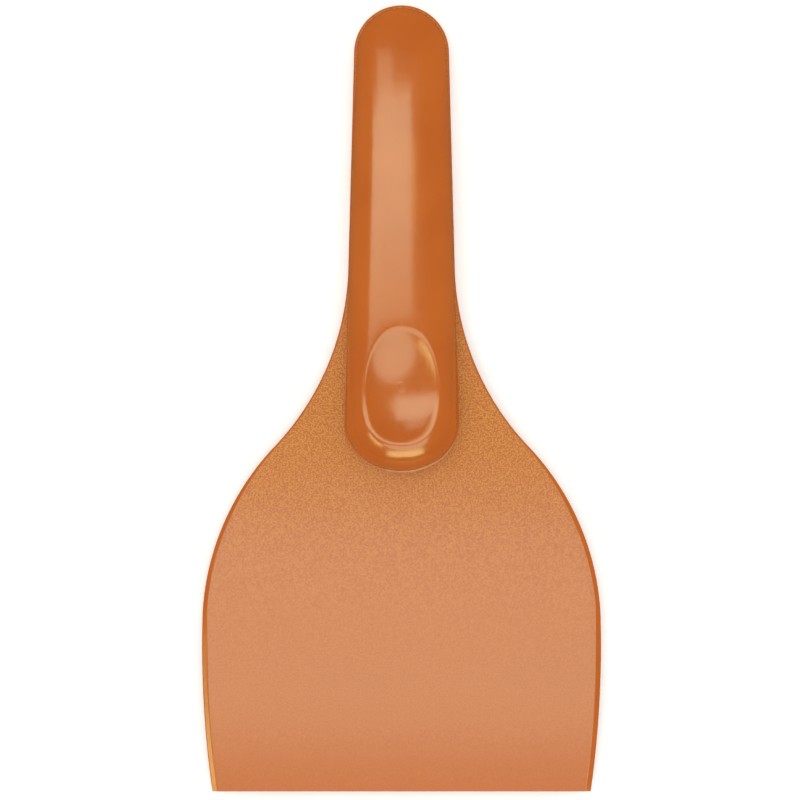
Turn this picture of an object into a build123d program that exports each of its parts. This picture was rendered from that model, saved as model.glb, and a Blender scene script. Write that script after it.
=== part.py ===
from build123d import *
import math
import os

# Flexible putty knife: one thin springy sheet, whose narrow end runs the full length of the handle as a
# tang, between a domed front shell with a thumb recess and a shallow back shell. Three blind pins hold
# the shells together through the tang.
#
# Millimetres. X runs across the blade, +Y from the working edge to the butt, and +Z out of the thumb
# side. The knife lies on its back: the origin is on the surface it lies on, under the middle of its box.
# A station is a distance from the working edge, measured along Y.

# ---- Driving dimensions ----

# Whole outline, symmetric about X = 0
overall_length = 203.0
widest_half_width = 51.5
widest_station = 37.7
side_radius = 272.5
shoulder_start = 46.5
shoulder_radius = 67.9
shoulder_centre = (-16.4, 42.3)
neck_radius = 69.1
tang_half_width_at_zero = 17.40
tang_taper = 0.0270

# Sheet thickness
tang_thickness = 2.2
bevel_start_thickness = 1.5
edge_thickness = 0.6
bevel_start = 26.0
rim_width = 1.3
rim_drop = 0.45
rim_end = 136.0

# Handle shells, in plan
handle_end = 82.9
handle_end_length = 12.1
handle_front_half_width = 14.3
handle_butt_half_width = 11.5
handle_side_bow = 1.4
butt_rim = 0.85

# Handle shells, in height
back_shell_depth = 4.0
back_shell_round = 2.6
back_shell_floor = 2.0
crest_full_height = 12.4
crest_fall_start = 140.0
crest_fall_power = 2.4
crown_power = 2.6
shell_wall = 2.4
cavity_stations = (95.0, 143.0, 183.0)
cavity_butt_length = 9.2

# Where the dome's sections stand: along its length, and as angles round each of its ends
dome_stations = (118.0, 148.0, 156.0, 163.0, 170.0, 176.0, 181.5, 186.5)
dome_end_angles = (12, 24, 36, 47, 57, 66, 74, 81, 86.5)
dome_section_steps = 12

# Thumb recess: a tilted ellipsoid cut from the dome, deepest a little towards the blade
recess_radii = (19.7, 23.6, 15.5)
recess_station = 107.7
recess_centre_height = 24.4
recess_tilt = 13.8

# Ribs and pins inside the handle
rib_stations = (138.0, 168.0)
rib_thickness = 1.6
pin_stations = (125.0, 153.0, 183.0)
pin_diameter = 3.0
pin_length = 9.0
pin_depth_in_back = 2.6
boss_diameter = 7.0
tang_hole_clearance = 0.1

# Flexing: the sheet bends like a spring about a line a third of its free length from the handle
free_length = handle_end
hinge_station = free_length * 2 / 3
hinge_gap = 0.05

# ---- Places worked out from them ----

tang_bottom = back_shell_depth
tang_top = tang_bottom + tang_thickness
mid_plane = tang_bottom + tang_thickness / 2
handle_full_start = handle_end + handle_end_length
handle_butt = overall_length - butt_rim
handle_round_start = handle_butt - handle_butt_half_width


def y_of(station):
    return station - overall_length / 2


def at(x, station):
    return (x, y_of(station))


def half_thickness(station):
    """Half the sheet's thickness between the bevel and the handle, where it tapers evenly."""
    share = (station - bevel_start) / (handle_end - bevel_start)
    return (bevel_start_thickness + share * (tang_thickness - bevel_start_thickness)) / 2


# ---- Outline of the sheet ----


def side_point(station):
    """A point on the blade's long side arc."""
    centre_x = widest_half_width - side_radius
    return (centre_x + math.sqrt(side_radius**2 - (station - widest_station) ** 2), station)


def shoulder_point(station):
    """A point on the convex shoulder arc, below its centre or above it."""
    centre_x, centre_station = shoulder_centre
    return (centre_x + math.sqrt(shoulder_radius**2 - (station - centre_station) ** 2), station)


def neck_arc():
    """Centre and ends of the concave arc that touches the shoulder arc and the taper line from outside."""
    slant = math.sqrt(1 + tang_taper**2)
    shoulder_x, shoulder_station = shoulder_centre
    reach = shoulder_radius + neck_radius
    # The centre lies on a line parallel to the taper line: x + tang_taper * station = line_at_zero
    line_at_zero = tang_half_width_at_zero + neck_radius * slant
    a = 1 + tang_taper**2
    b = -2 * (tang_taper * (line_at_zero - shoulder_x) + shoulder_station)
    c = (line_at_zero - shoulder_x) ** 2 + shoulder_station**2 - reach**2
    station = (-b + math.sqrt(b * b - 4 * a * c)) / (2 * a)
    x = line_at_zero - tang_taper * station
    share = shoulder_radius / reach
    start_x = shoulder_x + (x - shoulder_x) * share
    start_station = shoulder_station + (station - shoulder_station) * share
    end = (x - neck_radius / slant, station - neck_radius * tang_taper / slant)
    return (x, station), (start_x, start_station), end


def butt_arc_start():
    """Where the round butt leaves the taper line, so that it also reaches the full length."""
    slant = math.sqrt(1 + tang_taper**2)
    centre_station = (overall_length - tang_half_width_at_zero / slant) / (1 - tang_taper / slant)
    radius = overall_length - centre_station
    return (radius / slant, centre_station + radius * tang_taper / slant)


def point_on_arc(centre, radius, start, end):
    """The point halfway along the shorter arc between two points of a circle."""
    x = (start[0] + end[0]) / 2 - centre[0]
    station = (start[1] + end[1]) / 2 - centre[1]
    stretch = radius / math.hypot(x, station)
    return (centre[0] + x * stretch, centre[1] + station * stretch)


def one_side(side):
    """The outline's edges from the working edge's corner to the butt, on the side of X = side."""

    def place(point):
        return at(side * point[0], point[1])

    shoulder_top = shoulder_point(shoulder_start)
    neck_centre, neck_start, neck_end = neck_arc()
    shoulder_middle = point_on_arc(shoulder_centre, shoulder_radius, shoulder_top, neck_start)
    neck_middle = point_on_arc(neck_centre, neck_radius, neck_start, neck_end)
    return [
        ThreePointArc(place(side_point(0)), place(side_point(shoulder_start / 2)), place(shoulder_top)),
        ThreePointArc(place(shoulder_top), place(shoulder_middle), place(neck_start)),
        ThreePointArc(place(neck_start), place(neck_middle), place(neck_end)),
        Line(place(neck_end), place(butt_arc_start())),
    ]


def sheet_outline():
    """The plan outline: working edge, side arcs, shoulders, concave neck, taper and round butt."""
    corner_x, corner_station = side_point(0)
    butt_x, butt_station = butt_arc_start()
    working_edge = Line(at(-corner_x, corner_station), at(corner_x, corner_station))
    butt = ThreePointArc(at(butt_x, butt_station), at(0, overall_length), at(-butt_x, butt_station))
    return make_face(Wire([working_edge, *one_side(1), *one_side(-1), butt]))


# ---- The springy sheet, in two nodes that meet at the flexing line ----


def side_profile():
    """The sheet's section along Y: even tang, tapering blade, and a long front bevel at the edge."""
    back_at_bevel = mid_plane - bevel_start_thickness / 2
    front_at_bevel = mid_plane + bevel_start_thickness / 2
    front_at_edge = back_at_bevel + edge_thickness
    bevel_middle = front_at_bevel - (front_at_bevel - front_at_edge) / 4
    outline = [
        Line((y_of(0), back_at_bevel), (y_of(bevel_start), back_at_bevel)),
        Line((y_of(bevel_start), back_at_bevel), (y_of(handle_end), tang_bottom)),
        Line((y_of(handle_end), tang_bottom), (y_of(overall_length), tang_bottom)),
        Line((y_of(overall_length), tang_bottom), (y_of(overall_length), tang_top)),
        Line((y_of(overall_length), tang_top), (y_of(handle_end), tang_top)),
        Line((y_of(handle_end), tang_top), (y_of(bevel_start), front_at_bevel)),
        ThreePointArc(
            (y_of(bevel_start), front_at_bevel),
            (y_of(bevel_start / 2), bevel_middle),
            (y_of(0), front_at_edge),
        ),
        Line((y_of(0), front_at_edge), (y_of(0), back_at_bevel)),
    ]
    return make_face(Wire(outline))


def whole_sheet():
    prism = extrude(sheet_outline(), amount=back_shell_depth + 2 * tang_thickness)
    section = Plane.YZ * side_profile()
    slab = extrude(section, amount=overall_length, both=True)
    return ease_rim(prism & slab)


def ease_rim(solid):
    """Slope the sheet's front edge along both sides, from the working edge to where the neck ends."""
    rim = []
    for edge in solid.edges():
        box = edge.bounding_box()
        on_front = box.min.Z > mid_plane - bevel_start_thickness / 4
        along_side = box.size.Y > rim_width and box.min.X * box.max.X > 0
        if on_front and along_side and box.max.Y < y_of(rim_end):
            rim.append(edge)
    return chamfer(rim, length=rim_drop, length2=rim_width)


def hinge_cylinder(radius):
    axis_plane = Plane(origin=(0, y_of(hinge_station), mid_plane), z_dir=(1, 0, 0))
    return axis_plane * Cylinder(radius, 2 * widest_half_width + 2)


def half_space(low, high):
    """A box that holds all of the sheet between two stations."""
    size = (2 * widest_half_width + 2, high - low, 4 * tang_thickness + 2 * back_shell_depth)
    return Pos(0, y_of((low + high) / 2), mid_plane) * Box(*size)


def blade(sheet):
    """The free sheet from the working edge to the flexing line, where its end is rounded."""
    knuckle_radius = half_thickness(hinge_station)
    flat_part = sheet & half_space(-1, hinge_station)
    knuckle = sheet & half_space(hinge_station, hinge_station + knuckle_radius)
    knuckle &= hinge_cylinder(knuckle_radius)
    return flat_part + knuckle


def blade_tang(sheet):
    """The clamped sheet from the flexing line to the butt, hollowed to clear the blade's rounded end."""
    tang = sheet & half_space(hinge_station, overall_length + 1)
    tang -= hinge_cylinder(half_thickness(hinge_station) + hinge_gap)
    hole_radius = pin_diameter / 2 + tang_hole_clearance
    for station in pin_stations:
        tang -= Pos(0, y_of(station), mid_plane) * Cylinder(hole_radius, 2 * tang_thickness)
    return tang


# ---- Handle shells ----


def shell_half_width(station):
    """Half the shells' width: a long elliptical end, slowly closing sides and a round butt."""
    if station < handle_full_start:
        share = (handle_full_start - station) / handle_end_length
        return handle_front_half_width * math.sqrt(1 - share**2)
    if station > handle_round_start:
        share = (station - handle_round_start) / handle_butt_half_width
        return handle_butt_half_width * math.sqrt(1 - share**2)
    share = (station - handle_full_start) / (handle_round_start - handle_full_start)
    straight = handle_front_half_width - handle_butt_half_width - handle_side_bow
    return handle_front_half_width - straight * share - handle_side_bow * share**2


def crest_height(station):
    """Height of the front shell's crest above the tang, level but for its rounded blade end and long butt."""
    if station < handle_full_start:
        share = (handle_full_start - station) / handle_end_length
        return crest_full_height * (1 - share**crown_power) ** (1 / crown_power)
    if station <= crest_fall_start:
        return crest_full_height
    share = (station - crest_fall_start) / (handle_butt - crest_fall_start)
    return crest_full_height * math.sqrt(1 - share**crest_fall_power)


def section_plane(station):
    return Plane(origin=(0, y_of(station), tang_top), x_dir=(1, 0, 0), z_dir=(0, -1, 0))


def dome_section(station):
    """Half a superellipse: a crown flatter than an ellipse, with upright sides."""
    half_width, height = shell_half_width(station), crest_height(station)
    points = [(half_width, 0)]
    for step in range(1, dome_section_steps):
        angle = math.pi * step / dome_section_steps
        x = math.copysign(abs(math.cos(angle)) ** (2 / crown_power), math.cos(angle))
        points.append((half_width * x, height * math.sin(angle) ** (2 / crown_power)))
    points.append((-half_width, 0))
    crown = Spline(points, tangents=[(0, 1), (0, -1)])
    return section_plane(station) * make_face([crown, Line(points[-1], points[0])])


def dome():
    """The handle's front dome, skinned over sections that stand closer together where it turns down."""
    reaches = [1 - math.sin(math.radians(angle)) for angle in dome_end_angles]
    stations = [handle_full_start, crest_fall_start, handle_round_start, *dome_stations]
    stations += [handle_end + handle_end_length * reach for reach in reaches]
    stations += [handle_butt - handle_butt_half_width * reach for reach in reaches]
    return loft([dome_section(station) for station in sorted(stations)], ruled=True)


def cavity_section(half_width, length):
    arc = EllipticalCenterArc((0, 0), half_width, length, start_angle=0, arc_size=180)
    return make_face([arc, Line((-half_width, 0), (half_width, 0))])


def cavity_end(station, half_width, height, length):
    """A quarter ellipsoid that closes the cavity towards the butt, or the blade if length is negative."""
    quarter = revolve(cavity_section(half_width, abs(length)), Axis.X, 90)
    if length < 0:
        quarter = mirror(quarter, about=Plane.XZ)
    return Pos(0, y_of(station), tang_top) * scale(quarter, by=(1, 1, height / abs(length)))


def cavity():
    """The hollow inside the dome, at least a wall away from its outside."""
    sizes = [
        (station, shell_half_width(station) - shell_wall, crest_height(station) - shell_wall)
        for station in cavity_stations
    ]
    hollow = loft([section_plane(station) * cavity_section(wide, high) for station, wide, high in sizes])
    blade_end = cavity_end(*sizes[0], shell_wall - handle_end_length)
    return hollow + blade_end + cavity_end(*sizes[-1], cavity_butt_length)


def recess_ellipsoid(grow):
    radii = [radius + grow for radius in recess_radii]
    place = Pos(0, y_of(recess_station), tang_top + recess_centre_height) * Rot(X=recess_tilt)
    return place * scale(Sphere(1), by=tuple(radii))


def pin_holes(low, high):
    cylinder = Cylinder(pin_diameter / 2, high - low)
    return [Pos(0, y_of(station), (low + high) / 2) * cylinder for station in pin_stations]


def pin_bottom():
    return tang_bottom - pin_depth_in_back


def handle_front_shell():
    inside = cavity()
    middle_height = tang_top + crest_full_height / 2
    shell = dome() - inside
    for station in rib_stations:
        rib = Box(2 * handle_front_half_width, rib_thickness, crest_full_height)
        shell += Pos(0, y_of(station), middle_height) * rib & inside
    for station in pin_stations:
        boss = Cylinder(boss_diameter / 2, crest_full_height)
        shell += Pos(0, y_of(station), middle_height) * boss & inside
    shell += recess_ellipsoid(shell_wall) & inside
    shell -= recess_ellipsoid(0)
    for hole in pin_holes(tang_top - 1, pin_bottom() + pin_length):
        shell -= hole
    return shell


def handle_plan(inset):
    """The shells' plan outline: a long elliptical end, slowly closing sides and a round butt."""
    start, end = handle_full_start, handle_round_start
    middle = (start + end) / 2
    wide, mid, narrow = (shell_half_width(station) - inset for station in (start, middle, end))
    front_length = handle_end_length - inset
    front_arc = EllipticalCenterArc(at(0, start), wide, front_length, start_angle=180, arc_size=180)
    right = ThreePointArc(at(wide, start), at(mid, middle), at(narrow, end))
    butt = ThreePointArc(at(narrow, end), at(0, end + narrow), at(-narrow, end))
    left = ThreePointArc(at(-narrow, end), at(-mid, middle), at(-wide, start))
    return make_face(Wire([front_arc, right, butt, left]))


def handle_back_shell():
    tray = extrude(handle_plan(0), amount=back_shell_depth)
    lower_edges = tray.edges().group_by(Axis.Z)[0]
    tray = fillet(lower_edges, back_shell_round)
    pocket = Pos(0, 0, back_shell_floor) * extrude(handle_plan(shell_wall), amount=back_shell_depth)
    for station in pin_stations:
        pocket -= Pos(0, y_of(station), back_shell_depth) * Cylinder(boss_diameter / 2, 2 * back_shell_depth)
    for station in rib_stations:
        pocket -= Pos(0, y_of(station), back_shell_depth) * Box(
            2 * handle_front_half_width, rib_thickness, 2 * back_shell_depth
        )
    tray -= pocket
    for hole in pin_holes(pin_bottom(), tang_bottom + 1):
        tray -= hole
    return tray


def tang_pins():
    """Three pins, one node: each lies in a blind hole in both shells."""
    top = pin_bottom() + pin_length
    return Compound(children=[Part(pin.wrapped) for pin in pin_holes(pin_bottom(), top)])


# ---- Files ----

sheet = whole_sheet()
nodes = {
    "blade": blade(sheet),
    "blade_tang": blade_tang(sheet),
    "handle_front_shell": handle_front_shell(),
    "handle_back_shell": handle_back_shell(),
    "tang_pins": tang_pins(),
}

os.makedirs("parts", exist_ok=True)
for name, shape in nodes.items():
    export_step(shape, f"parts/{name}.step")
    print(name, "volume", round(shape.volume, 1), "valid", shape.is_valid)
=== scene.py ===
import math

import bmesh
import bpy
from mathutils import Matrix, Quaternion, Vector


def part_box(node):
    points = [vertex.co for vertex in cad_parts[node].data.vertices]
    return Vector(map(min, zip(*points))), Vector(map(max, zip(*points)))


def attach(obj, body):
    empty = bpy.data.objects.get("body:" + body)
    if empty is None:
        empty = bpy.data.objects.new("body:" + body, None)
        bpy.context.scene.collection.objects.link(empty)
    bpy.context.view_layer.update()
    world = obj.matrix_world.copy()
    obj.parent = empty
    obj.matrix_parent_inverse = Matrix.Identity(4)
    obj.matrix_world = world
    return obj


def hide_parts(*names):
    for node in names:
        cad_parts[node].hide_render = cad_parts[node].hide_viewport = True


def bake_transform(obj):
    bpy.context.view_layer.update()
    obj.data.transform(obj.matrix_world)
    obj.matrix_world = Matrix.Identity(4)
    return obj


# A flexible putty knife lying on its back on a pale floor, seen from straight above.
# Shapes are worked out in millimetres and turned into metres when a mesh is made. A station is a
# distance from the working edge along +Y; X runs across the blade and +Z is up, out of the thumb side.

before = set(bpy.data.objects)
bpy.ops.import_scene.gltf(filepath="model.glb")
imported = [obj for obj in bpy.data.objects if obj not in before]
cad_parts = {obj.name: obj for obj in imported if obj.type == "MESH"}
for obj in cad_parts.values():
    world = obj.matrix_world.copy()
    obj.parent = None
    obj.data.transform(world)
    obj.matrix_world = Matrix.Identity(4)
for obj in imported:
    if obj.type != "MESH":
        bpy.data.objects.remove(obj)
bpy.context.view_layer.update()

MM = 0.001
WELD_DISTANCE = 1e-6
SHORTEST_EDGE = 1e-7

# ---- Places taken from the frame, in millimetres ----


def box_mm(node):
    low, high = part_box(node)
    return low / MM, high / MM


blade_low, blade_high = box_mm("blade")
tang_low, tang_high = box_mm("blade_tang")
shell_low, shell_high = box_mm("handle_front_shell")
edge_y = blade_low.y
overall_length = tang_high.y - edge_y
widest_half_width = (blade_high.x - blade_low.x) / 2
tang_bottom = tang_low.z
tang_top = tang_high.z
mid_plane = (tang_bottom + tang_top) / 2
handle_end = shell_low.y - edge_y
shell_butt = shell_high.y - edge_y
shell_height = shell_high.z - shell_low.z

# ---- Shape of the sheet ----

widest_station = 37.7
side_radius = 272.5
shoulder_start = 46.5
shoulder_radius = 67.9
shoulder_centre = (-16.4, 42.3)
neck_radius = 69.1
tang_half_width_at_zero = 17.40
tang_taper = 0.0270

bevel_start = 26.0
bevel_start_thickness = 1.5
edge_thickness = 0.6
corner_blend = 12.0
# RIM_DROP is held to this share of the sheet's thickness
rim_drop_limit = 0.6

# How many steps each stretch of the sheet's side has, and how many columns of points lie across each face
side_steps = 60
shoulder_steps = 60
neck_steps = 50
taper_steps = 40
butt_steps = 30
sheet_columns = 60
sheet_crease = math.radians(40)

# ---- Shape of the front shell ----

shell_end_length = 12.1
shell_front_half_width = (shell_high.x - shell_low.x) / 2
shell_butt_half_width = 11.5
shell_side_bow = 1.4
crest_fall_start = 140.0
crest_fall_power = 2.4
crown_power = 2.6
foot_reach = 0.55
foot_reach_on_sides = 0.12
foot_fade = (100.0, 128.0)

recess_radii = (19.7, 23.6, 15.5)
recess_station = 107.7
recess_centre_height = 24.4
recess_tilt = math.radians(13.8)
# The shell is finely cut up to here, past the recess's upper end: a share of its length radius
recess_top_share = 0.7
recess_dip = 0.10
recess_dip_start = 106.5
recess_dip_reach = 11.0
recess_dip_fade = 0.7
# Station, and the radius of the recess's lip there: softest round the end towards the blade
RECESS_LIP = [(93.0, 1.15), (99.0, 1.10), (104.0, 0.75), (109.0, 0.45), (120.0, 0.50)]
gate_mark_station = 104.5
gate_mark_radius = 0.95
gate_ring_depth = 0.035
gate_ring_width = 0.25
gate_nub_height = 0.012
gate_nub_width = 0.35

# How finely the shell is cut: round its ends, along the recess, above it, and from side to side
shell_cap_steps = 44
row_spacing_by_recess = 0.2
row_spacing_above = 0.8
shell_columns = 220
shell_crease = math.radians(50)

# ---- View ----

length_share_of_view = 0.9825
view_centre = (-0.4, -0.4)

# ---- Stage, in metres ----

camera_distance = 1.2
floor_half_size = 4.0
floor_gap = 0.0001
light_height = 0.60


def y_of(station):
    return edge_y + station


# ---- Mesh helpers ----


def object_from_mesh(name, bm, crease):
    """A smooth-shaded object, with sharp edges where two faces meet at more than the crease angle."""
    bmesh.ops.remove_doubles(bm, verts=bm.verts, dist=WELD_DISTANCE)
    bmesh.ops.dissolve_degenerate(bm, edges=bm.edges, dist=SHORTEST_EDGE)
    bmesh.ops.recalc_face_normals(bm, faces=bm.faces)
    mesh = bpy.data.meshes.new(name)
    bm.to_mesh(mesh)
    bm.free()
    for polygon in mesh.polygons:
        polygon.use_smooth = True
    piece = bpy.data.objects.new(name, mesh)
    bpy.context.scene.collection.objects.link(piece)
    mark_sharp_edges(mesh, crease)
    return piece


def mark_sharp_edges(mesh, angle):
    bm = bmesh.new()
    bm.from_mesh(mesh)
    for edge in bm.edges:
        if len(edge.link_faces) == 2 and edge.calc_face_angle(0) > angle:
            edge.smooth = False
    bm.to_mesh(mesh)
    bm.free()


def skin(bm, rings, closed):
    """Quads between successive rings of vertices, each ring a list of the same length."""
    rows = [[bm.verts.new(Vector(point) * MM) for point in ring] for ring in rings]
    faces = []
    count = len(rows[0])
    last = count if closed else count - 1
    for lower, upper in zip(rows, rows[1:]):
        for i in range(last):
            j = (i + 1) % count
            faces.append(bm.faces.new((lower[i], lower[j], upper[j], upper[i])))
    return rows, faces


# ---- Outline of the sheet's right side ----


def arc_samples(centre, radius, start, end, count):
    """Points of a circle's arc between two stations, each with the outline's outward normal."""
    convex = centre[0] < start[0]
    angles = [math.atan2(point[1] - centre[1], point[0] - centre[0]) for point in (start, end)]
    if not convex:
        angles = [a % (2 * math.pi) for a in angles]
    outward = 1 if convex else -1
    samples = []
    for step in range(count):
        angle = angles[0] + (angles[1] - angles[0]) * step / count
        x, y = math.cos(angle), math.sin(angle)
        samples.append((centre[0] + radius * x, centre[1] + radius * y, outward * x, outward * y))
    return samples


def neck_arc():
    """Centre and ends of the concave arc that touches the shoulder arc and the taper line from outside."""
    slant = math.sqrt(1 + tang_taper**2)
    shoulder_x, shoulder_station = shoulder_centre
    reach = shoulder_radius + neck_radius
    line_at_zero = tang_half_width_at_zero + neck_radius * slant
    a = 1 + tang_taper**2
    b = -2 * (tang_taper * (line_at_zero - shoulder_x) + shoulder_station)
    c = (line_at_zero - shoulder_x) ** 2 + shoulder_station**2 - reach**2
    station = (-b + math.sqrt(b * b - 4 * a * c)) / (2 * a)
    x = line_at_zero - tang_taper * station
    share = shoulder_radius / reach
    start = (shoulder_x + (x - shoulder_x) * share, shoulder_station + (station - shoulder_station) * share)
    end = (x - neck_radius / slant, station - neck_radius * tang_taper / slant)
    return (x, station), start, end


def sheet_side():
    """(x, station, normal x, normal station) down the right side, from the edge's corner to the butt."""
    slant = math.sqrt(1 + tang_taper**2)
    side_centre = (widest_half_width - side_radius, widest_station)
    corner = (side_centre[0] + math.sqrt(side_radius**2 - widest_station**2), 0.0)
    top_x = shoulder_centre[0] + math.sqrt(shoulder_radius**2 - (shoulder_start - shoulder_centre[1]) ** 2)
    side_top = (top_x, shoulder_start)
    neck_centre, neck_start, neck_end = neck_arc()
    butt_station = (overall_length - tang_half_width_at_zero / slant) / (1 - tang_taper / slant)
    butt_radius = overall_length - butt_station
    butt_start = (butt_radius / slant, butt_station + butt_radius * tang_taper / slant)

    samples = arc_samples(side_centre, side_radius, corner, side_top, side_steps)
    samples += arc_samples(shoulder_centre, shoulder_radius, side_top, neck_start, shoulder_steps)
    samples += arc_samples(neck_centre, neck_radius, neck_start, neck_end, neck_steps)
    for step in range(taper_steps):
        t = step / taper_steps
        x = neck_end[0] + (butt_start[0] - neck_end[0]) * t
        station = neck_end[1] + (butt_start[1] - neck_end[1]) * t
        samples.append((x, station, 1 / slant, tang_taper / slant))
    samples += arc_samples((0, butt_station), butt_radius, butt_start, (0, overall_length), butt_steps)
    samples.append((0.0, overall_length, 0.0, 1.0))
    return samples


def front_height(station):
    """Height of the sheet's front face."""
    at_bevel = mid_plane + bevel_start_thickness / 2
    at_edge = mid_plane - bevel_start_thickness / 2 + edge_thickness
    if station < bevel_start:
        return at_bevel - (at_bevel - at_edge) * ((bevel_start - station) / bevel_start) ** 2
    share = min((station - bevel_start) / (handle_end - bevel_start), 1)
    return at_bevel + (tang_top - at_bevel) * share


def back_height(station):
    """Height of the sheet's back face."""
    at_bevel = mid_plane - bevel_start_thickness / 2
    share = min(max((station - bevel_start) / (handle_end - bevel_start), 0), 1)
    return at_bevel + (tang_bottom - at_bevel) * share


# ---- The springy sheet ----

# Each entry: distance in from the outline where RIM_REACH is 1, and drop below the front face as a share
# of RIM_DROP
RIM_PROFILE = [
    (0.00, 1.28),
    (0.03, 1.10),
    (0.12, 0.95),
    (0.30, 0.80),
    (0.60, 0.57),
    (0.90, 0.34),
    (1.15, 0.14),
    (1.28, 0.045),
    (1.42, 0.0),
]
# Each entry: distance in from the outline, and rise above the back face
BACK_PROFILE = [(1.3, 0.0), (0.35, 0.0), (0.14, 0.03), (0.04, 0.09), (0.0, 0.18)]
# Station, and the rim's width there as a share of RIM_PROFILE's
RIM_REACH = [(38.0, 1.0), (50.0, 0.8), (72.0, 0.8), (90.0, 0.32)]
# Station, and the rim's drop there: deepest round the shoulders
RIM_DROP = [(38.0, 0.45), (50.0, 0.62), (72.0, 0.62), (90.0, 0.45)]


def along(station, table):
    """The value at a station of a table of (station, value) pairs, level beyond both ends."""
    if station <= table[0][0]:
        return table[0][1]
    for (before, low), (after, high) in zip(table, table[1:]):
        if station <= after:
            return low + (high - low) * (station - before) / (after - before)
    return table[-1][1]


def sheet_ring(sample):
    """One loop round the sheet: back right rim, front right rim, front, left rims, back."""
    x, station, normal_x, normal_s = sample
    reach = along(station, RIM_REACH)
    normal_s *= min(station / corner_blend, 1)
    length = math.hypot(normal_x, normal_s)
    normal_x, normal_s = normal_x / length, normal_s / length
    right = []
    for inset, rise in BACK_PROFILE:
        s = station - inset * normal_s
        right.append((max(x - inset * normal_x, 0), s, back_height(s) + rise))
    thickness = front_height(station) - back_height(station)
    drop = min(along(station, RIM_DROP), rim_drop_limit * thickness)
    for inset, share in RIM_PROFILE:
        s = station - inset * reach * normal_s
        right.append((max(x - inset * reach * normal_x, 0), s, front_height(s) - drop * share))
    front_x, front_s, _ = right[-1]
    back_x, back_s, _ = right[0]
    across = [front_x * (1 - 2 * (i + 1) / (sheet_columns + 1)) for i in range(sheet_columns)]
    front = [(value, front_s, front_height(front_s)) for value in across]
    left = [(-px, ps, pz) for px, ps, pz in reversed(right)]
    across = [back_x * (2 * (i + 1) / (sheet_columns + 1) - 1) for i in range(sheet_columns)]
    back = [(value, back_s, back_height(back_s)) for value in across]
    return [(px, y_of(ps), pz) for px, ps, pz in right + front + left + back]


def springy_sheet():
    """The whole sheet in one mesh: its faces take the first material, and its rims the second."""
    bm = bmesh.new()
    rings = [sheet_ring(sample) for sample in sheet_side()]
    rows, faces = skin(bm, rings, closed=True)
    bm.faces.new(rows[0])
    rim_columns = len(BACK_PROFILE) + len(RIM_PROFILE)
    per_ring = len(rings[0])
    for index, face in enumerate(faces):
        column = index % per_ring
        on_front = rim_columns - 1 <= column < rim_columns + sheet_columns
        on_back = column >= 2 * rim_columns + sheet_columns - 1
        face.material_index = 0 if on_front or on_back else 1
    bmesh.ops.triangulate(bm, faces=[face for face in bm.faces if len(face.verts) > 4])
    return object_from_mesh("springy_sheet", bm, sheet_crease)


# ---- Handle front shell ----


def shell_half_width(station):
    """Half the shell's width between its two rounded ends."""
    start = handle_end + shell_end_length
    end = shell_butt - shell_butt_half_width
    t = (station - start) / (end - start)
    straight = shell_front_half_width - shell_butt_half_width - shell_side_bow
    return shell_front_half_width - straight * t - shell_side_bow * t * t


def crest_height(station):
    """Height of the crest above the tang, from where the blade end's rounding stops to the butt."""
    if station <= crest_fall_start:
        return shell_height
    share = min((station - crest_fall_start) / (shell_butt - crest_fall_start), 1)
    return shell_height * math.sqrt(max(1 - share**crest_fall_power, 0))


def shell_rows():
    """(station, half width, height) of each cross-section, from the blade end to the butt."""
    start = handle_end + shell_end_length
    end = shell_butt - shell_butt_half_width
    recess_top = recess_station + recess_top_share * recess_radii[1]
    rows = []
    for step in range(shell_cap_steps):
        angle = math.pi / 2 * (1 - step / shell_cap_steps)
        reach = math.sin(angle)
        height = shell_height * (1 - reach**crown_power) ** (1 / crown_power)
        rows.append((start - shell_end_length * reach, shell_front_half_width * math.cos(angle), height))
    fine = int((recess_top - start) / row_spacing_by_recess)
    for step in range(fine):
        station = start + (recess_top - start) * step / fine
        rows.append((station, shell_half_width(station), crest_height(station)))
    coarse = int((end - recess_top) / row_spacing_above)
    for step in range(coarse):
        station = recess_top + (end - recess_top) * step / coarse
        rows.append((station, shell_half_width(station), crest_height(station)))
    for step in range(shell_cap_steps + 1):
        angle = math.pi / 2 * step / shell_cap_steps
        station = end + shell_butt_half_width * math.sin(angle)
        rows.append((station, shell_butt_half_width * math.cos(angle), crest_height(station)))
    return rows


def recess_floor(x, station):
    """Height above the tang of the thumb recess's tilted ellipsoid, or infinity beside it."""
    a, b, c = recess_radii
    cos_t, sin_t = math.cos(recess_tilt), math.sin(recess_tilt)
    y = station - recess_station
    qa = (sin_t / b) ** 2 + (cos_t / c) ** 2
    qb = 2 * y * cos_t * sin_t * (1 / b**2 - 1 / c**2)
    qc = (x / a) ** 2 + (y * cos_t / b) ** 2 + (y * sin_t / c) ** 2 - 1
    root = qb * qb - 4 * qa * qc
    if root < 0:
        return math.inf
    return (-qb - math.sqrt(root)) / (2 * qa) + recess_centre_height


def smooth_minimum(a, b, radius):
    """The smaller of two values, rounded over where they differ by less than the radius."""
    if b - a > radius:
        return a
    if a - b > radius:
        return b
    share = 0.5 + 0.5 * (b - a) / radius
    return b + (a - b) * share - radius * share * (1 - share)


def dip(station, difference):
    """How much the crest sinks as it nears the recess's upper end."""
    share = min(max((station - recess_dip_start) / recess_dip_reach, 0), 1)
    return recess_dip * share * math.exp(-max(difference, 0) / recess_dip_fade)


def gate_mark(x, station):
    """Height of a faint moulded ring and nub at the bottom of the recess."""
    distance = math.hypot(x, station - gate_mark_station)
    ring = gate_ring_depth * math.exp(-(((distance - gate_mark_radius) / gate_ring_width) ** 2))
    nub = gate_nub_height * math.exp(-((distance / gate_nub_width) ** 2))
    return nub - ring


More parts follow.
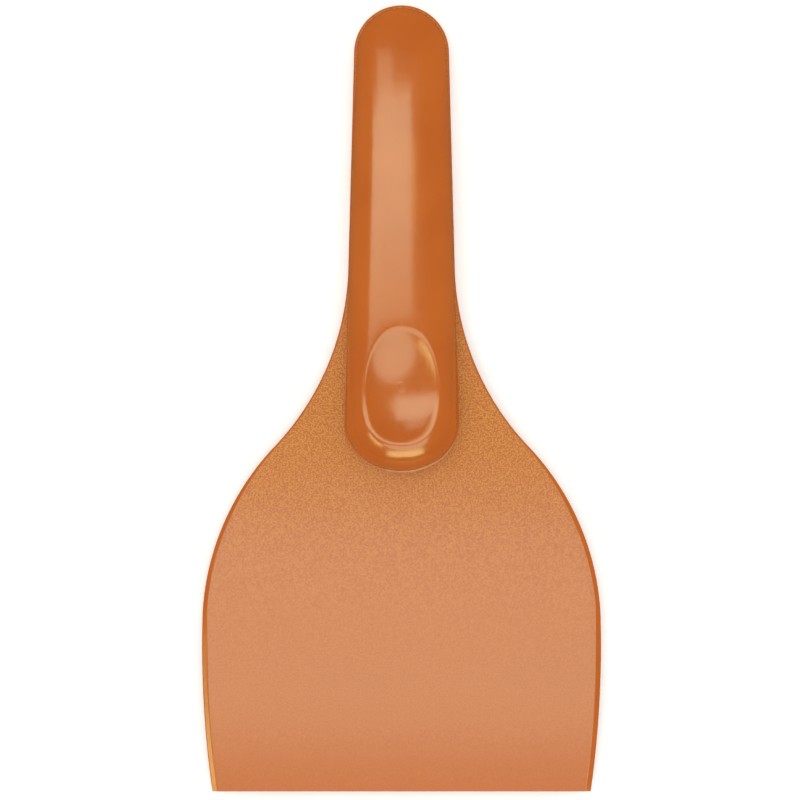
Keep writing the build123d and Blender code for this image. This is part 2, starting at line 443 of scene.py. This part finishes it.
def shell_section(station, half_width, height):
    """One superelliptical section from side to side, cut by the recess."""
    lip = along(station, RECESS_LIP)
    ring = []
    for i in range(shell_columns + 1):
        share = math.cos(math.pi * i / shell_columns)
        x = half_width * share
        z = height * (1 - abs(share) ** crown_power) ** (1 / crown_power)
        floor = recess_floor(x, station)
        z -= dip(station, floor - z)
        if floor < z + lip:
            z = smooth_minimum(z, floor, lip) + gate_mark(x, station)
        ring.append((x, y_of(station), tang_top + z))
    return ring


# Each entry: distance out from the shell's outline as a share of the foot's reach, and height above the
# tang. The first three are hidden inside the shell.
FOOT_PROFILE = [
    (-0.70, 0.00),
    (-0.70, 0.48),
    (-0.04, 0.45),
    (0.07, 0.30),
    (0.20, 0.19),
    (0.38, 0.10),
    (0.65, 0.035),
    (1.00, 0.00),
]


def shell_foot(bm):
    """The concave fillet where the shell meets the sheet, widest round the blade end."""
    right = [(half_width, station) for station, half_width, _ in shell_rows()]
    loop = right + [(-x, station) for x, station in reversed(right[1:-1])]
    rings = []
    for i, (x, station) in enumerate(loop):
        before, after = loop[i - 1], loop[(i + 1) % len(loop)]
        normal = Vector((after[1] - before[1], before[0] - after[0])).normalized()
        fade = min(max((station - foot_fade[0]) / (foot_fade[1] - foot_fade[0]), 0), 1)
        reach = foot_reach + (foot_reach_on_sides - foot_reach) * fade
        ring = []
        for share, height in FOOT_PROFILE:
            out = share * (reach if share > 0 else foot_reach)
            ring.append((x + out * normal.x, y_of(station + out * normal.y), tang_top + height))
        rings.append(ring)
    skin(bm, [*rings, rings[0]], closed=True)


def handle_front():
    bm = bmesh.new()
    rings = [shell_section(*row) for row in shell_rows()]
    rows, _ = skin(bm, rings, closed=False)
    # Flat underside, hidden on the tang
    for lower, upper in zip(rows, rows[1:]):
        bm.faces.new((lower[0], upper[0], upper[-1], lower[-1]))
    shell_foot(bm)
    return object_from_mesh("handle_front", bm, shell_crease)


# ---- Materials ----


def new_material(name):
    material = bpy.data.materials.new(name)
    material.use_nodes = True
    tree = material.node_tree
    tree.nodes.clear()
    output = tree.nodes.new("ShaderNodeOutputMaterial")
    shader = tree.nodes.new("ShaderNodeBsdfPrincipled")
    tree.links.new(shader.outputs["BSDF"], output.inputs["Surface"])
    return material, tree, shader


def object_position(tree):
    return tree.nodes.new("ShaderNodeTexCoord").outputs["Object"]


def noise(tree, scale, detail, roughness=0.5):
    """A noise pattern in object space; scale is in waves per metre."""
    made = tree.nodes.new("ShaderNodeTexNoise")
    made.inputs["Scale"].default_value = scale
    made.inputs["Detail"].default_value = detail
    made.inputs["Roughness"].default_value = roughness
    tree.links.new(object_position(tree), made.inputs["Vector"])
    return made.outputs["Fac"]


def ramp(tree, source, stops):
    """Colours along a value. Each stop is a position and either a colour or a grey level."""
    made = tree.nodes.new("ShaderNodeValToRGB")
    made.color_ramp.interpolation = "EASE"
    elements = made.color_ramp.elements
    while len(elements) < len(stops):
        elements.new(0.5)
    for element, (position, colour) in zip(elements, stops):
        element.position = position
        element.color = (*colour, 1) if isinstance(colour, tuple) else (colour, colour, colour, 1)
    tree.links.new(source, made.inputs["Fac"])
    return made.outputs["Color"]


def arithmetic(tree, operation, first, second):
    """A Math node's result; each operand is a number or another node's output."""
    made = tree.nodes.new("ShaderNodeMath")
    made.operation = operation
    for socket, value in zip(made.inputs, (first, second)):
        if isinstance(value, (int, float)):
            socket.default_value = value
        else:
            tree.links.new(value, socket)
    return made.outputs["Value"]


def share_along_blade(tree, low_station, high_station, low_value, high_value):
    """A value that changes evenly along Y between two stations."""
    split = tree.nodes.new("ShaderNodeSeparateXYZ")
    tree.links.new(object_position(tree), split.inputs["Vector"])
    spread = tree.nodes.new("ShaderNodeMapRange")
    tree.links.new(split.outputs["Y"], spread.inputs["Value"])
    spread.inputs["From Min"].default_value = y_of(low_station) * MM
    spread.inputs["From Max"].default_value = y_of(high_station) * MM
    spread.inputs["To Min"].default_value = low_value
    spread.inputs["To Max"].default_value = high_value
    return spread.outputs["Result"]


def mix(tree, factor, first, second):
    """A colour between two others, the second where the factor is 1."""
    made = tree.nodes.new("ShaderNodeMixRGB")
    for socket, value in zip(made.inputs, (factor, first, second)):
        tree.links.new(value, socket)
    return made.outputs["Color"]


def bumps(tree, shader, height, strength, distance):
    bump = tree.nodes.new("ShaderNodeBump")
    bump.inputs["Strength"].default_value = strength
    bump.inputs["Distance"].default_value = distance
    tree.links.new(height, bump.inputs["Height"])
    tree.links.new(bump.outputs["Normal"], shader.inputs["Normal"])


def smooth_orange():
    """Glossy moulded plastic: faint flow clouds in its colour, and fine unevenness in its gloss."""
    material, tree, shader = new_material("smooth_orange")
    clouds = noise(tree, scale=60, detail=2)
    colour = ramp(tree, clouds, [(0.3, (0.445, 0.094, 0.0095)), (0.7, (0.478, 0.107, 0.0115))])
    tree.links.new(colour, shader.inputs["Base Color"])
    speckle = noise(tree, scale=900, detail=2)
    roughness = ramp(tree, speckle, [(0.3, 0.16), (0.7, 0.23)])
    tree.links.new(roughness, shader.inputs["Roughness"])
    bumps(tree, shader, speckle, strength=0.05, distance=0.0003)
    return material


def grained_orange():
    """Spark-eroded texture: coarse by the neck, finer below, and rougher at the edge. Its colour holds
    painted light: a golden sheen by the neck and shade towards the edge.
    """
    material, tree, shader = new_material("grained_orange")
    grain = noise(tree, scale=2400, detail=3, roughness=0.65)
    contrast = share_along_blade(tree, low_station=45, high_station=100, low_value=0.5, high_value=2.6)
    centred = arithmetic(tree, "SUBTRACT", grain, 0.5)
    scaled = arithmetic(tree, "MULTIPLY", centred, contrast)
    level = arithmetic(tree, "ADD", scaled, 0.5)
    place = share_along_blade(tree, low_station=0, high_station=100, low_value=0.0, high_value=1.0)
    # Towards the edge (0.00) both ramps darken: painted shade standing in for the dimmer sheen along the
    # bevel
    valleys = ramp(
        tree,
        place,
        [
            (0.00, (0.44, 0.080, 0.005)),
            (0.28, (0.45, 0.105, 0.026)),
            (0.55, (0.45, 0.105, 0.026)),
            (0.98, (0.42, 0.085, 0.003)),
        ],
    )
    # Towards the neck (0.98) the peaks turn golden: a painted yellowish sheen and glints on the grain
    peaks = ramp(
        tree,
        place,
        [
            (0.00, (0.50, 0.110, 0.012)),
            (0.28, (0.53, 0.160, 0.043)),
            (0.55, (0.54, 0.165, 0.044)),
            (0.98, (0.58, 0.210, 0.022)),
        ],
    )
    share = ramp(tree, level, [(0.34, 0.0), (0.66, 1.0)])
    tree.links.new(mix(tree, share, valleys, peaks), shader.inputs["Base Color"])
    roughness = ramp(tree, place, [(0.0, 0.66), (0.24, 0.45), (0.5, 0.42), (0.9, 0.72)])
    mottling = arithmetic(tree, "MULTIPLY", noise(tree, scale=120, detail=3), 0.08)
    tree.links.new(arithmetic(tree, "ADD", roughness, mottling), shader.inputs["Roughness"])
    bumps(tree, shader, level, strength=0.35, distance=0.0003)
    return material


def floor_white():
    """Matt pale floor with a very faint unevenness, and a slight glow that softens the knife's shadow."""
    material, tree, shader = new_material("floor_white")
    colour = ramp(tree, noise(tree, scale=40, detail=2), [(0.3, 0.93), (0.7, 0.95)])
    tree.links.new(colour, shader.inputs["Base Color"])
    shader.inputs["Roughness"].default_value = 0.9
    shader.inputs["Emission Color"].default_value = (1, 1, 1, 1)
    shader.inputs["Emission Strength"].default_value = 0.16
    return material


# ---- Stage, light and camera ----


def make_floor():
    """A flat floor just under the knife, left out of glossy reflections."""
    bm = bmesh.new()
    bmesh.ops.create_grid(bm, x_segments=8, y_segments=8, size=floor_half_size)
    mesh = bpy.data.meshes.new("floor")
    bm.to_mesh(mesh)
    bm.free()
    floor = bpy.data.objects.new("floor", mesh)
    floor.location = (0, 0, -floor_gap)
    floor.visible_glossy = False
    bpy.context.scene.collection.objects.link(floor)
    mesh.materials.append(floor_white())


def area_light(name, centre, target, size, radiance, colour, turn=0.0, shape="RECTANGLE", diffuse=False):
    """A soft light of even radiance that faces the target. It shows in gloss, or else on matt surfaces."""
    data = bpy.data.lights.new(name, "AREA")
    data.shape = shape
    data.size, data.size_y = size
    area = size[0] * size[1] * (math.pi / 4 if shape == "ELLIPSE" else 1)
    data.energy = radiance * math.pi * area
    data.color = colour
    light = bpy.data.objects.new(name, data)
    light.location = centre
    direction = Vector(target) - Vector(centre)
    turned = direction.to_track_quat("-Z", "Y") @ Quaternion((0, 0, 1), math.radians(turn))
    light.rotation_euler = turned.to_euler()
    light.visible_camera = False
    light.visible_diffuse = diffuse
    light.visible_glossy = not diffuse
    bpy.context.scene.collection.objects.link(light)
    return light


def overhead_light(name, x, y, size, radiance, colour, turn=0.0, shape="RECTANGLE"):
    area_light(name, (x, y, light_height), (x, y, 0), size, radiance, colour, turn, shape)


def make_lights():
    """Soft boxes, each placed for the highlights that it makes, and one fill for matt surfaces."""
    pale = (0.74, 1.0, 0.72)
    yellow = (0.94, 1.0, 0.40)
    near_white = (0.92, 1.0, 0.86)
    # The strip along the handle and the recess's lower right, then the lower left of the recess's lip, and
    # then where the strip fades towards the butt
    overhead_light("back_left_box", x=-0.335, y=0.18, size=(0.85, 0.29), radiance=4.9, colour=pale)
    overhead_light("back_left_box_end", x=0.09, y=0.15, size=(0.16, 0.12), radiance=2.5, colour=yellow)
    overhead_light("back_box", x=-0.27, y=0.42, size=(0.40, 0.20), radiance=2.3, colour=pale)
    # The recess's upper left, and the yellow band at its upper right
    overhead_light(
        "front_oval", x=0.13, y=-0.45, size=(0.66, 0.74), radiance=4.1, colour=pale, shape="ELLIPSE"
    )
    overhead_light(
        "left_front_strip", x=-0.51, y=-0.40, size=(0.54, 0.28), radiance=7.0, colour=yellow, turn=-48
    )
    # The crescent between the recess and the blade
    area_light(
        "low_front_box",
        centre=(0.10, -0.80, 0.36),
        target=(0, 0, 0),
        size=(0.65, 0.36),
        radiance=7.6,
        colour=yellow,
    )
    area_light(
        "overhead_fill",
        centre=(-0.05, 0.10, 0.90),
        target=(0, 0, 0),
        size=(1.2, 1.2),
        radiance=0.8,
        colour=near_white,
        diffuse=True,
    )


def studio_world():
    """Even white light on matt surfaces, and a dim surround in glossy reflections."""
    world = bpy.data.worlds.new("studio")
    world.use_nodes = True
    tree = world.node_tree
    bright = tree.nodes["Background"]
    bright.inputs["Color"].default_value = (1, 1, 1, 1)
    bright.inputs["Strength"].default_value = 0.95
    dim = tree.nodes.new("ShaderNodeBackground")
    dim.inputs["Color"].default_value = (1.0, 0.7, 0.35, 1)
    dim.inputs["Strength"].default_value = 0.2
    rays = tree.nodes.new("ShaderNodeLightPath")
    chosen = tree.nodes.new("ShaderNodeMixShader")
    tree.links.new(rays.outputs["Is Glossy Ray"], chosen.inputs["Fac"])
    tree.links.new(bright.outputs["Background"], chosen.inputs[1])
    tree.links.new(dim.outputs["Background"], chosen.inputs[2])
    tree.links.new(chosen.outputs["Shader"], tree.nodes["World Output"].inputs["Surface"])
    return world


def make_camera():
    """Straight above, with the whole knife filling the frame from top to bottom."""
    data = bpy.data.cameras.new("camera")
    camera = bpy.data.objects.new("camera", data)
    bpy.context.scene.collection.objects.link(camera)
    view_height = overall_length * MM / length_share_of_view
    data.sensor_width = 36
    data.lens = data.sensor_width * camera_distance / view_height
    camera.location = (view_centre[0] * MM, view_centre[1] * MM, mid_plane * MM + camera_distance)
    camera.rotation_euler = (0, 0, 0)
    bpy.context.scene.camera = camera


# ---- Build ----

smooth = smooth_orange()
grained = grained_orange()

sheet = springy_sheet()
sheet.data.materials.append(grained)
sheet.data.materials.append(smooth)
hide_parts("blade", "blade_tang")
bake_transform(sheet)

front = handle_front()
front.data.materials.append(smooth)
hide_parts("handle_front_shell")
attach(front, "handle")

for name in ("handle_back_shell", "tang_pins"):
    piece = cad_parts[name]
    piece.data.materials.clear()
    piece.data.materials.append(smooth)

make_floor()
make_lights()
make_camera()
bpy.context.scene.world = studio_world()
bpy.context.scene.view_settings.view_transform = "Standard"
